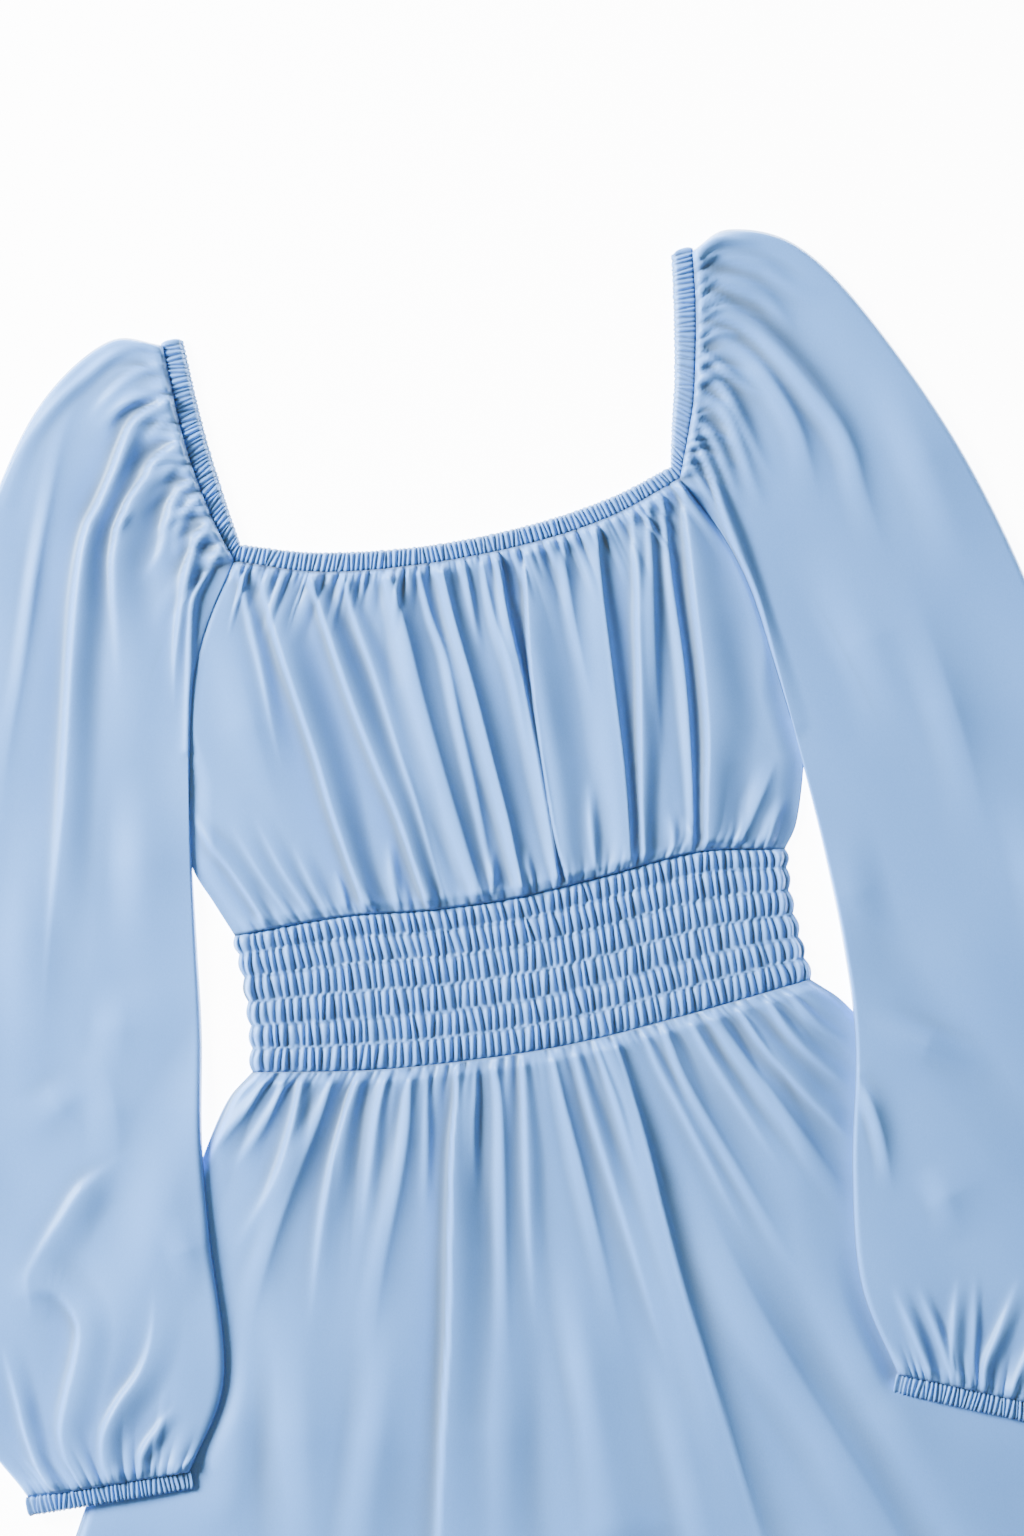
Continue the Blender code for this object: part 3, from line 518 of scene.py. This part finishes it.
skirt = {
    "grid": (115, 340),
    "lift": 2.6,
    "foldRise": 1.35,
    "foldReach": 14,  # how far from a sleeve its weight flattens the folds
    "heldReach": 34,  # and the cloth between them
    "hemTurn": 14,
    "seamLength": 330,
    "flat": (0.90, 0.52),
    "area": 0.33,
    "folds": [
        ([(-156, -44), (-168, -58), (-186, -74), (-204, -88)], 2.4, 8, 5, 0.4, 0.7, 0.3),
        ([(-146, -46), (-156, -63), (-172, -82), (-190, -100)], 2.0, 6, 5, 0.3, 0.8, 0.0),
        ([(-137, -48), (-145, -70), (-156, -94), (-171, -117), (-194, -144)],
         3.0, 3.0, 12, 0.5, 0.7, 0.0),
        ([(-119, -50), (-130, -72), (-144, -96), (-160, -124), (-180, -165), (-196, -205)],
         2.8, 14, 6, 0.3, 0.7, 0.0),
        ([(-105, -52), (-118, -78), (-130, -108), (-141, -142), (-156, -200)],
         2.6, 2.6, 14, 0.5, 0.8, 0.0),
        ([(-88, -52), (-97, -75), (-105, -102), (-118, -150)], 2.0, 3, 8, 0.4, 0.8, 0.0),
        ([(-74, -53), (-80, -84), (-90, -116), (-106, -160), (-126, -225)],
         2.6, 13, 6, 0.3, 0.8, 0.0),
        ([(-64, -53), (-68, -75), (-72, -100), (-80, -145)], 1.6, 4, 5, 0.3, 0.8, 0.0),
        ([(-47, -54), (-50, -72), (-57, -102), (-65, -148), (-75, -206), (-86, -258), (-106, -360)],
         4.6, 2.4, 26, 0.7, 0.6, 0.3),
        ([(-36, -54), (-39, -72), (-43, -92), (-49, -135)], 1.6, 4, 4, 0.3, 0.8, 0.0),
        ([(-25, -55), (-25, -80), (-30, -122), (-38, -180), (-47, -250)],
         2.4, 9, 6, 0.3, 0.8, 0.0),
        ([(-9, -55), (-11, -76), (-15, -112), (-20, -155), (-26, -225)],
         2.2, 3, 11, 0.4, 0.8, 0.0),
        ([(9, -55), (11, -84), (15, -122), (19, -170), (24, -240)], 2.2, 11, 4, 0.3, 0.8, 0.0),
        ([(21, -55), (25, -90), (32, -136), (40, -190), (50, -260)],
         2.4, 2.6, 12, 0.4, 0.7, 0.0),
        ([(34, -54), (38, -75), (42, -98), (47, -140)], 1.6, 4, 4, 0.3, 0.8, 0.0),
        ([(45, -52), (50, -80), (55, -120), (58, -156), (63, -202), (71, -256), (88, -370)],
         4.6, 26, 5.5, 0.3, 0.7, 0.3),
        ([(62, -51), (69, -76), (79, -104), (90, -136), (108, -190)],
         2.2, 3, 9, 0.4, 0.8, 0.0),
        ([(75, -51), (82, -80), (94, -112), (112, -156), (136, -215)],
         2.6, 9, 6, 0.3, 0.8, 0.0),
        ([(90, -48), (98, -70), (112, -102), (134, -150)], 2.2, 3, 9, 0.4, 0.8, 0.0),
        ([(104, -46), (116, -70), (132, -100), (154, -142), (178, -190)],
         2.8, 13, 6, 0.3, 0.8, 0.0),
        ([(118, -45), (130, -70), (150, -101), (176, -136)], 3.2, 3.0, 14, 0.7, 0.8, 0.3),
        ([(136, -43), (147, -66), (166, -90), (184, -106)], 2.6, 3.0, 10, 0.5, 0.8, 0.2),
        ([(149, -41), (161, -58), (182, -78)], 2.0, 6, 4, 0.3, 0.8, 0.2),
        ([(-152, -150), (-164, -220), (-172, -300), (-176, -360)], 3.4, 28, 18, 0.0, 0.0, 0.4),
        ([(-104, -170), (-116, -230), (-136, -300), (-150, -360)], 3.2, 22, 16, 0.0, 0.0, 0.4),
        ([(-38, -150), (-50, -240), (-62, -330), (-66, -400)], 3.2, 20, 24, 0.0, 0.0, 0.3),
        ([(0, -150), (2, -240), (4, -330)], 3.0, 18, 16, 0.0, 0.0, 0.4),
        ([(44, -190), (48, -260), (54, -340), (58, -400)], 2.4, 20, 14, 0.0, 0.0, 0.4),
        ([(70, -110), (84, -160), (102, -215), (126, -275), (156, -345), (176, -400)],
         4.0, 28, 9, 0.1, 0.0, 0.4),
        ([(130, -160), (150, -220), (178, -300), (206, -380)], 3.2, 26, 20, 0.0, 0.0, 0.4),
        ([(-190, -170), (-206, -240), (-230, -320)], 3.0, 22, 22, 0.0, 0.0, 0.0),
        ([(-3, -290), (0, -400), (4, -532)], 5.0, 40, 40, 0.0, 0.0, 1.0),
        ([(-92, -350), (-100, -440), (-112, -528)], 5.0, 36, 30, 0.2, 0.0, 1.0),
        ([(86, -340), (100, -440), (112, -528)], 5.4, 36, 30, 0.2, 0.0, 1.0),
        ([(-158, -350), (-186, -430), (-208, -513)], 6.0, 34, 44, 0.2, 0.0, 1.0),
        ([(168, -365), (192, -440), (212, -512)], 6.0, 44, 34, 0.2, 0.0, 1.0),
        ([(-246, -350), (-280, -424), (-306, -490)], 4.6, 34, 34, 0.2, 0.0, 1.0),
        ([(256, -368), (286, -430), (310, -488)], 4.6, 34, 34, 0.2, 0.0, 1.0),
    ],
    "gathers": {"sizes": [(3.8, 10, 1.1), (7.6, 40, 1.6), (15, 110, 1.6)], "lean": 0.04},
}


def footprint(side):  # the plan outline of a sleeve
    s = sleeves[side]
    return np.vstack([curve(s["raglan"], 8)[::-1], curve(s["shoulder"], 8)[1:],
                      curve(s["outer"], 40)[1:], curve(s["inner"], 40)[::-1][:-1]])


def edgeLevel(z, away, level, reach):  # lowers the cloth to a seam over a short reach
    return level + (z - level) * smooth(away / reach)


def bodiceSides(upper, lower):  # both edges, with the steps along the raglan and side seams
    return [np.vstack([curve(raglan, upper)[:-1], curve(seam, lower)])
            for raglan, seam in ((raglanLeft, sideLeft), (raglanRight, sideRight))]


def bodiceFront():
    rows, columns = bodice["grid"]
    sides = bodiceSides(bodice["raglanRows"], rows - bodice["raglanRows"])
    plan = patch(curve(neckSeam, columns), curve(waistSeam, columns), *sides)
    x, y = plan[..., 0], plan[..., 1]
    u = np.linspace(0, 1, columns + 1)[None, :]
    fromNeck = np.linalg.norm(plan - plan[:1], axis=2)
    fromWaist = np.linalg.norm(plan - plan[-1:], axis=2)
    fromSide = np.minimum(np.linalg.norm(plan - plan[:, :1], axis=2),
                          np.linalg.norm(plan - plan[:, -1:], axis=2))
    z = frontLevel + bodice["lift"] + bodice["foldRise"] * folds(x, y, bodice["folds"])
    z += 0.35 * ripple(x, y * 0.4, 38, 3)
    z = edgeLevel(z, fromNeck, seamLevel, 6)
    z = edgeLevel(z, fromWaist, seamLevel, 7)
    neck, waist = bodice["neckLength"], bodice["waistLength"]
    puckers = gathers(u * neck, fromNeck, neck, bodice["neckGathers"], 11)
    puckers += gathers(u * waist, fromWaist, waist, bodice["waistGathers"], 12)
    z += puckers * smooth(np.minimum(fromNeck, fromWaist) / 2 + 0.5)
    free = smooth((y - 125) / 40)  # 1 beside a raglan seam, 0 beside a side seam
    z = edgeLevel(z, fromSide, edgeLow + 2.2 * free, 14 - 11 * free)
    z = softFloor(z, edgeLow)
    # Painted shade, darkening the colour in the gaps of the gathers and along the neck and waist
    # seams.
    creaseShade = shadeInHollows(z, 4, 2, 1.3) + 0.9 * (1 - smooth(np.minimum(fromNeck, fromWaist) / 1.6))
    piece = sheetMesh("bodiceFront", np.dstack([plan, z]), wall, creaseShade=np.clip(creaseShade, 0, 1))
    finishPiece(piece, "bodice_front", cloth)


def softFloor(z, least):  # keeps heights above the least one, with no hard step
    return least + np.logaddexp(0, (z - least) * 2.5) / 2.5


def skirtFront():
    rows, columns = skirt["grid"]
    spread = np.linspace(0, 1, rows + 1) ** 1.35
    sides = [even(curve(line, 400), rows, spread) for line in (skirtLeft, skirtRight)]
    plan = patch(curve(skirtSeam, columns), curve(hemLine, columns), *sides)
    x, y = plan[..., 0], plan[..., 1]
    u = np.linspace(0, 1, columns + 1)[None, :]
    fromSeam = np.linalg.norm(plan - plan[:1], axis=2)
    fromHem = np.linalg.norm(plan - plan[-1:], axis=2)
    fromSide = np.minimum(np.linalg.norm(plan - plan[:, :1], axis=2),
                          np.linalg.norm(plan - plan[:, -1:], axis=2))
    creases = skirt["foldRise"] * folds(x, y, skirt["folds"])
    lift = skirt["lift"] + 0.5 * ripple(x, y * 0.35, 60, 5)
    for side in sleeves:  # the sleeves hold the skirt down
        away = outside(x, y, footprint(side))
        creases = creases * (0.12 + 0.88 * smooth(away / skirt["foldReach"]))
        lift = lift * (0.12 + 0.88 * smooth(away / skirt["heldReach"]))
    z = 2.3 + lift + creases
    z = edgeLevel(z, fromSeam, seamLevel, 8)
    length = skirt["seamLength"]
    puckers = gathers(u * length, fromSeam, length, skirt["gathers"], 21)
    z += puckers * smooth(fromSeam / 2 + 0.5)
    z = edgeLevel(z, fromSide, 1.8, 6)
    z = softFloor(z, edgeLow)
    z += 0.35 * smooth((skirt["hemTurn"] - fromHem) / 1.2)
    # Painted shade, darkening the colour in the gaps of the gathers and along the waist seam.
    creaseShade = shadeInHollows(z, 4, 2, 1.3) + 0.9 * (1 - smooth(fromSeam / 1.6))
    piece = sheetMesh("skirtFront", np.dstack([plan, z]), wall, creaseShade=np.clip(creaseShade, 0, 1))
    finishPiece(piece, "skirt_front", cloth)


backPanels = {
    "grid": (40, 60),
    "waves": 0.25,
    "bodice": {"flat": (0.42, 0.26), "area": 0.09},
    "waistband": {"flat": (0.36, 0.10), "area": 0.032},
    "skirt": {"flat": (0.82, 0.52), "area": 0.30},
}


def backs():
    rows, columns = backPanels["grid"]
    for name, top, bottom, sides in (
        ("bodice", neckSeam, waistSeam, bodiceSides(rows // 2, rows // 2)),
        ("waistband", waistSeam, skirtSeam, [curve(bandLeft, rows), curve(bandRight, rows)]),
        ("skirt", skirtSeam, hemLine, [curve(skirtLeft, rows), curve(skirtRight, rows)]),
    ):
        plan = patch(curve(top, columns), curve(bottom, columns), *sides)
        x, y = plan[..., 0], plan[..., 1]
        z = backLevel + wall + backPanels["waves"] * (1 + ripple(x, y * 0.3, 26, 31)) / 2
        piece = sheetMesh(name + "Back", np.dstack([plan, z]), wall)
        finishPiece(piece, name + "_back", cloth)


band = {
    "rows": (0.0, 0.14, 0.31, 0.49, 0.665, 0.83, 1.0),  # the stitch rows and the two edges
    "steps": 14,  # grid rows from one stitch row to the next
    "columns": 540,
    "pleats": 69,
    "rise": 3.4,
    "bulge": 2.0,  # how far the puffs stand out at the band's ends
    "thread": 1.3,
    "flat": (0.50, 0.10),
    "area": 0.046,
}


def waistbandFront():
    # Puffs between the shirring rows: pinched at each row, full between, leaning their own way.
    rows, steps = band["rows"], band["steps"]
    columns, pleats = band["columns"], band["pleats"]
    v = np.r_[0, np.concatenate([np.linspace(a, b, steps + 1)[1:] for a, b in zip(rows, rows[1:])])]
    sides = [even(curve(line, 300), len(v) - 1, v) for line in (bandLeft, bandRight)]
    plan = patch(curve(waistSeam, columns), curve(skirtSeam, columns), *sides)
    u = np.linspace(0, 1, columns + 1)
    rng = np.random.RandomState(7)
    z = np.zeros(plan.shape[:2])

    def edges(shift):
        line = (np.arange(-1, pleats + 2) + shift) / pleats
        return np.sort(line + rng.normal(0, 0.16, pleats + 3) / pleats)

    for k in range(len(rows) - 1):
        shift = rng.uniform(-0.5, 0.5)
        tops, bottoms = edges(shift), edges(shift + rng.uniform(-0.3, 0.3))
        tall = rng.uniform(0.6, 1.15, pleats + 3)
        for row in range(k * steps, (k + 1) * steps + (k == len(rows) - 2)):
            w = row / steps - k
            line = (1 - w) * tops + w * bottoms
            at = np.clip(np.searchsorted(line, u, side="right") - 1, 0, pleats + 1)
            t = (u - line[at]) / np.maximum(line[at + 1] - line[at], 1e-6)
            full = math.sin(math.pi * w)
            puff = np.sin(np.pi * np.clip(t, 0, 1)) ** (1.6 - 0.85 * full) * tall[at]
            z[row] = band["rise"] * (0.16 + 0.84 * full**0.6) * puff
            plan[row, :, 0] += (2 * u - 1) ** 15 * band["bulge"] * full
            if k and not row % steps:  # the elastic thread, pulled in between the pleats
                z[row] += band["thread"] * np.abs(np.sin(np.pi * (u * pleats + k * 0.37)))
    x, y = plan[..., 0], plan[..., 1]
    z += 2.0 + 0.2 * ripple(x, y, 20, 9)
    fromTop = np.linalg.norm(plan - plan[:1], axis=2)
    fromBottom = np.linalg.norm(plan - plan[-1:], axis=2)
    fromSide = np.minimum(x - x[:, :1], x[:, -1:] - x)
    z = edgeLevel(z, np.minimum(fromTop, fromBottom) + 1.2, edgeLow, 3.5)
    z = edgeLevel(z, fromSide, 1.7, 3.0)
    # Painted shade, darkening the colour in the gaps between the puffs.
    creaseShade = shadeInHollows(z, 4, 1, 1.0)
    piece = sheetMesh("waistbandFront", np.dstack([plan, z]), wall, creaseShade=creaseShade)
    finishPiece(piece, "waistband_front", casingCloth)


def sleeve(side):
    s, turn = sleeves[side], sleeves[side]["turn"]
    rows, half = sleeveLay["grid"]
    seam = np.vstack([curve(s["raglan"], half)[::-1], curve(s["shoulder"], half)[1:]])
    wrist = even(np.array(s["cut"], float), 2 * half)
    inner = curve([seam[0], *s["inner"][1:-1], wrist[0]], rows)
    outer = curve([seam[-1], *s["outer"][1:-1], wrist[-1]], rows)
    plan = patch(seam, wrist, inner, outer)
    x, y = plan[..., 0], plan[..., 1]
    u = np.linspace(0, 1, 2 * half + 1)[None, :]
    fromSeam = np.linalg.norm(plan - plan[:1], axis=2)
    fromCuff = np.linalg.norm(plan - plan[-1:], axis=2)
    fromInner = np.linalg.norm(plan - plan[:, :1], axis=2)
    fromOuter = np.linalg.norm(plan - plan[:, -1:], axis=2)
    skirtOutline = np.vstack([curve(skirtLeft, 12), curve(hemLine, 12)[1:-1],
                              curve(skirtRight, 12)[::-1]])
    carried, begins, ramp = sleeveLay["skirtUnder"]
    ground = carried * smooth((begins - outside(x, y, skirtOutline)) / ramp)
    roll = np.minimum(fromInner / s["innerRoll"], fromOuter / sleeveLay["outerRoll"])
    bulge = np.sqrt(1 - (1 - np.clip(roll, 0, 1)) ** 2)
    lift = sleeveLay["lift"] + sleeveLay["foldRise"] * folds(x, y, s["folds"])
    lift = lift + 0.5 * ripple(x, y * 0.5, 55, 15 + turn)
    z = ground + 1.2 + lift * bulge
    length = sleeveLay["crownLength"]
    crown = gathers((u - 0.5) * 2 * length, fromSeam, length, sleeveLay["crown"], 41 + turn)
    length = sleeveLay["cuffLength"]
    cuffPuckers = gathers(u * length, fromCuff, length, sleeveLay["cuff"], 51 + turn)
    low = ground + 0.6  # the lower layer
    raglan = 1 - smooth((u - 0.46) / 0.05)  # the plain half of the top, the rest being gathered
    z = edgeLevel(z, fromSeam, seamLevel + 1.1 + 0.5 * raglan, 3.5)
    z += crown * smooth((u - 0.49) / 0.02) * smooth(fromSeam / 2 + 0.5)
    z = edgeLevel(z, fromCuff, ground + 3.2, 6)
    z += cuffPuckers * smooth(fromCuff / 2 + 0.5)
    z = np.maximum(z, low + 0.9)
    rim = roll < 1e-9
    z = np.where(rim, (low + ground + 2.2) / 2, z)
    under = plan[:, ::-4][:, 1:-1]
    lower = np.dstack([under, low[:, ::-4][:, 1:-1]])
    ring = np.concatenate([np.dstack([plan, z]), lower], axis=1)
    # Painted shade, darkening the colour in the gaps of the upper layer's gathers.
    creaseShade = np.zeros(ring.shape[:2])
    creaseShade[:, :z.shape[1]] = shadeInHollows(z, 3, 2, 1.3)
    piece = sheetMesh("sleeve" + side.title(), ring, wall, closed=True, creaseShade=creaseShade)
    finishPiece(piece, "sleeve_" + side, cloth)


neckCasing = {"pitch": 2.75, "thick": 1.0, "rib": 2.0, "flat": (0.34, 0.0118), "area": 0.0038}
strap = {"pitch": 2.8, "thick": 0.9, "rib": 2.1, "flat": (0.34, 0.0118), "area": 0.004}
wristband = {"pitch": 2.5, "thick": 0.8, "rib": 1.9, "flat": (0.25, 0.0118), "area": 0.0029}


def ribbed(near, far, up, look, seed, closed=False):
    # A band between two rails with ribs across it: near and far are its edges in space and up
    # is the way that it stands proud of them. The fourth value is the painted shade of its gaps.
    rng = np.random.RandomState(seed)
    middle = (near + far) / 2
    along = np.r_[0, np.cumsum(np.linalg.norm(np.diff(middle, axis=0), axis=1))]
    count = max(4, int(round(along[-1] / look["pitch"])))
    edges = np.linspace(0, along[-1], count + 1)
    edges[1:-1] += rng.normal(0, 0.16 * look["pitch"], count - 1)
    slant = rng.normal(0, 0.22 * look["pitch"], count + 1)
    slant[0] = slant[-1] = 0
    tall = rng.uniform(0.7, 1.15, count)
    across = np.linspace(0, 1, 9)
    rows, gapShade = [], []
    for w in across:
        line = np.sort(edges + slant * (w - 0.5) * 2)
        at = np.clip(np.searchsorted(line, along, side="right") - 1, 0, count - 1)
        t = (along - line[at]) / np.maximum(line[at + 1] - line[at], 1e-6)
        rib = np.sin(np.pi * np.clip(t, 0, 1)) * tall[at]
        arch = (1 - abs(2 * w - 1) ** 3.2) ** 0.5
        height = look["thick"] * (0.55 + 0.45 * arch) + look["rib"] * rib * (0.5 + 0.5 * arch)
        point = near + (far - near) * w
        away = (near - far) / np.linalg.norm(near - far, axis=1)[:, None]
        scallop = look["rib"] * 0.35 * rib * (1 if w == 0 else -1 if w == 1 else 0)
        rows.append(point + up * height[:, None] + away * scallop[:, None])
        # painted shade, darkest in the gaps between the ribs
        gapShade.append(1 - smooth(rib / 0.7) * (0.7 + 0.3 * arch))
    for w in (0.85, 0.5, 0.15):  # the flat underside
        rows.append(near + (far - near) * w)
        gapShade.append(gapShade[0])
    grid = np.dstack([np.stack(rows), np.stack(gapShade)])
    if closed:
        grid = grid[:, :-1]
    return grid


def ribbedPiece(name, node, grid, closed=False):
    # The ring across the band runs down the rows, so the sheet is turned to close it.
    turned = np.transpose(grid, (1, 0, 2))
    if closed:
        turned = np.concatenate([turned, turned[:1]])
    piece = sheetMesh(name, turned[..., :3], 0, closed=True, creaseShade=turned[..., 3])
    pick(piece)
    bpy.ops.object.mode_set(mode="EDIT")
    bpy.ops.mesh.select_all(action="SELECT")
    bpy.ops.mesh.remove_doubles(threshold=0.000002)
    if not closed:  # caps over the two ends
        bpy.ops.mesh.select_all(action="DESELECT")
        bpy.ops.mesh.select_non_manifold()
        bpy.ops.mesh.edge_face_add()
        bpy.ops.mesh.select_all(action="SELECT")
    bpy.ops.mesh.normals_make_consistent(inside=False)
    bpy.ops.object.mode_set(mode="OBJECT")
    finishPiece(piece, node, casingCloth)


def flatUp(line, z):
    return np.c_[line, np.full(len(line), z)]


def neckCasings():
    for place, level, steps, rib in (("front", 2.4, 560, neckCasing["rib"]), ("back", 0.3, 200, 0.6)):
        near, far = flatUp(curve(neckTop, steps), level), flatUp(curve(neckSeam, steps), level)
        for rail in (near, far):  # the ends reach up to the straps
            rail[0] += 0.5 * (rail[0] - rail[1]) / np.linalg.norm(rail[0] - rail[1])
            rail[-1] += 0.5 * (rail[-1] - rail[-2]) / np.linalg.norm(rail[-1] - rail[-2])
        up = np.tile([0.0, 0.0, 1.0], (steps + 1, 1))
        grid = ribbed(near, far, up, {**neckCasing, "rib": rib}, 61)
        ribbedPiece("neckCasing" + place.title(), "neck_casing_" + place, grid)


def shoulderCasing(side):
    s, turn = sleeves[side], sleeves[side]["turn"]
    steps, turns = 260, 24  # along each leg, and over the shoulder's fold
    backShift = np.array([turn * 1.3, 0.0, 0.0])  # the back leg shows past the front one
    rails = []
    for points in (s["strap"], s["shoulder"]):
        line = curve(points, steps)
        angle = np.linspace(0, np.pi, turns + 1)[1:-1, None]
        front = flatUp(line, 2.5)
        fold = np.array([*line[-1], 2.2]) + np.array([0, 1.0, 0]) * np.sin(angle) * 0.6
        fold = fold + np.array([0, 0, 0.3]) * np.cos(angle) + backShift * (1 - np.cos(angle)) / 2
        spread = np.minimum(1, np.arange(steps + 1) / 80)[:, None]
        back = (flatUp(line, 1.9) + backShift * spread)[::-1]
        rails.append(np.vstack([front, fold, back]))
    angle = np.linspace(0, np.pi, turns + 1)[1:-1]
    up = np.vstack([np.tile([0, 0, 1.0], (steps + 1, 1)),
                    np.c_[0 * angle, np.sin(angle), np.cos(angle)],
                    np.tile([0, 0, -1.0], (steps + 1, 1))])
    grid = ribbed(rails[0], rails[1], up, strap, 71 + turn)
    grid[..., 2] = np.maximum(grid[..., 2], 0.25)  # clear of the floor
    ribbedPiece("shoulderCasing" + side.title(), "shoulder_casing_" + side, grid)


def cuff(side):
    s, turn = sleeves[side], sleeves[side]["turn"]
    start, end = (np.array(p, float) for p in s["cut"])
    along = (end - start) / np.linalg.norm(end - start)
    down = np.array([-along[1], along[0]]) * turn
    span = np.linalg.norm(end - start)
    angle = np.linspace(0, 2 * np.pi, 421)
    reach = np.sign(np.cos(angle)) * np.abs(np.cos(angle)) ** 0.9
    height = np.sign(np.sin(angle)) * np.abs(np.sin(angle)) ** 0.35
    loop = np.c_[start + along * 0.5 * span * (1 - reach)[:, None], 4.9 + 0.7 * height]
    up = np.c_[-along * (np.abs(reach) ** 12 * np.sign(reach))[:, None], np.sign(height)]
    up /= np.linalg.norm(up, axis=1)[:, None]
    near = even(loop, 420)
    far = near + np.array([*down, 0]) * s["cuffDepth"]
    grid = ribbed(near, far, up, wristband, 81 + turn, closed=True)
    ribbedPiece("cuff" + side.title(), "cuff_" + side, grid, closed=True)


backs()
print("backs made")
bodiceFront()
skirtFront()
print("panels made")
waistbandFront()
print("waistband made")
for side in sleeves:
    sleeve(side)
    shoulderCasing(side)
    cuff(side)
neckCasings()
print("sleeves and casings made")

# The surface, the light and the camera, in metres and watts.
studio = {
    "floorSize": 12,
    "floorTop": -0.0002,
    "floorColour": (0.93, 0.93, 0.935, 1),
    "floorGlow": 11.0,
    "worldColour": (1.0, 0.84, 0.60, 1),
    "worldStrength": 0.30,
    "keyLight": ((-2.4, 1.5, 1.5), 1.2, 475, (0.89, 0.94, 1.0)),  # place, width, power, colour
    "topLight": ((-0.3, 0.6, 2.6), 2.0, 8, (1, 1, 1)),
}
deselect()
bpy.ops.mesh.primitive_plane_add(size=studio["floorSize"], location=(0, 0, studio["floorTop"]))
floor = bpy.context.active_object
floor.name = "floor"
paper = bpy.data.materials.new("paleFloor")
paper.use_nodes = True
paperShader = paper.node_tree.nodes["Principled BSDF"]
paperShader.inputs["Base Color"].default_value = studio["floorColour"]
paperShader.inputs["Roughness"].default_value = 0.8
paperShader.inputs["Specular IOR Level"].default_value = 0.1
paperShader.inputs["Emission Color"].default_value = (1, 1, 1, 1)
paperShader.inputs["Emission Strength"].default_value = studio["floorGlow"]
floor.data.materials.append(paper)

world = bpy.data.worlds.new("studio")
bpy.context.scene.world = world
world.use_nodes = True
backdrop = world.node_tree.nodes["Background"]
backdrop.inputs["Color"].default_value = studio["worldColour"]
backdrop.inputs["Strength"].default_value = studio["worldStrength"]


def softbox(name):  # a square light that faces the middle of the dress
    place, width, power, colour = studio[name]
    light = bpy.data.lights.new(name, "AREA")
    light.shape = "RECTANGLE"
    light.size = light.size_y = width
    light.energy = power
    light.color = colour
    lamp = bpy.data.objects.new(name, light)
    bpy.context.collection.objects.link(lamp)
    lamp.location = place
    x, y, z = place
    lamp.rotation_euler = (math.atan2(math.hypot(x, y), z), 0, math.atan2(x, -y))


softbox("keyLight")
softbox("topLight")

view = {"centre": (0.0107, 0.111), "lean": -8.8, "tall": 0.891, "far": 2.4}
camera = bpy.data.cameras.new("camera")
camera.lens = 36 * view["far"] / view["tall"]
eye = bpy.data.objects.new("camera", camera)
bpy.context.collection.objects.link(eye)
eye.location = (*view["centre"], view["far"])
eye.rotation_euler = (0, 0, math.radians(view["lean"]))
bpy.context.scene.camera = eye
